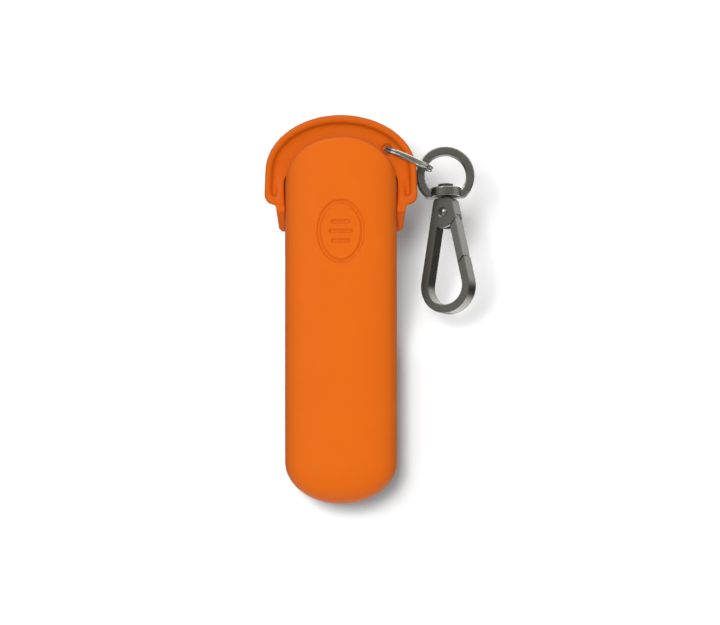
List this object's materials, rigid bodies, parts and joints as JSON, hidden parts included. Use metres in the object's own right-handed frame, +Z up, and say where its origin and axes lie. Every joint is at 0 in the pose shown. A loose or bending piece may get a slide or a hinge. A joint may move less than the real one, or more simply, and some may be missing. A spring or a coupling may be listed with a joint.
{
  "type": "pocket tool case",
  "caption": "Soft slip case for a small folding pocket tool, with a flip-over hood at the mouth, a split ring through its brim and a swivel snap hook.",
  "frame": {"origin": "middle of the pocket floor inside the sleeve", "axes": "+X across the front, +Y from the front to the back, +Z up out of the pocket's mouth"},
  "size_m": [0.0422, 0.0147, 0.0776],
  "materials": {
    "silicone_sleeve": "smooth satin silicone",
    "silicone_hood": "smooth satin silicone",
    "bright_nickel": "polished nickel",
    "dark_nickel_eye": "satin black nickel",
    "pin_steel": "satin black nickel",
    "dark_nickel_hook": "satin black nickel",
    "dark_nickel_gate": "satin black nickel",
    "rivet_steel": "polished steel",
    "spring_steel": "drawn spring wire"
  },
  "bodies": {
    "sleeve_body": {"sleeve": "silicone_sleeve"},
    "hood_body": {"flip_hood": "silicone_hood"},
    "ring_body": {"split_ring": "bright_nickel"},
    "eye_body": {"swivel_eye": "dark_nickel_eye"},
    "hook": {"hook_body": "dark_nickel_hook", "swivel_pin": "pin_steel", "gate_rivet": "rivet_steel", "gate_spring": "spring_steel"},
    "gate_body": {"gate": "dark_nickel_gate"}
  },
  "joints": [
    {"name": "hood_flip", "type": "hinge", "parent": "sleeve_body", "child": "hood_body", "pos_m": [0, 0.004, 0.0542], "axis": [-1, 0, 0], "range_deg": [0, 108]},
    {"name": "ring_swing", "type": "hinge", "parent": "hood_body", "child": "ring_body", "pos_m": [0.0092, 0.0016, 0.06905], "axis": [0, 1, 0], "range_deg": [-35, 5]},
    {"name": "eye_swing", "type": "hinge", "parent": "ring_body", "child": "eye_body", "pos_m": [0.01793, 0.0016, 0.0652], "axis": [0, 1, 0], "range_deg": [-45, 5]},
    {"name": "hook_swivel", "type": "hinge", "parent": "eye_body", "child": "hook", "pos_m": [0.0209, 0.0019, 0.0638], "axis": [-0.0242, 0.1392, 0.99], "continuous": true},
    {"name": "gate_open", "type": "hinge", "parent": "hook", "child": "gate_body", "pos_m": [0.02108, 0.00086, 0.05638], "axis": [0.5028, 0.8576, -0.1083], "range_deg": [0, 22], "stiffness_Nm_per_rad": 0.0003, "deforming": ["gate_spring"]}
  ]
}
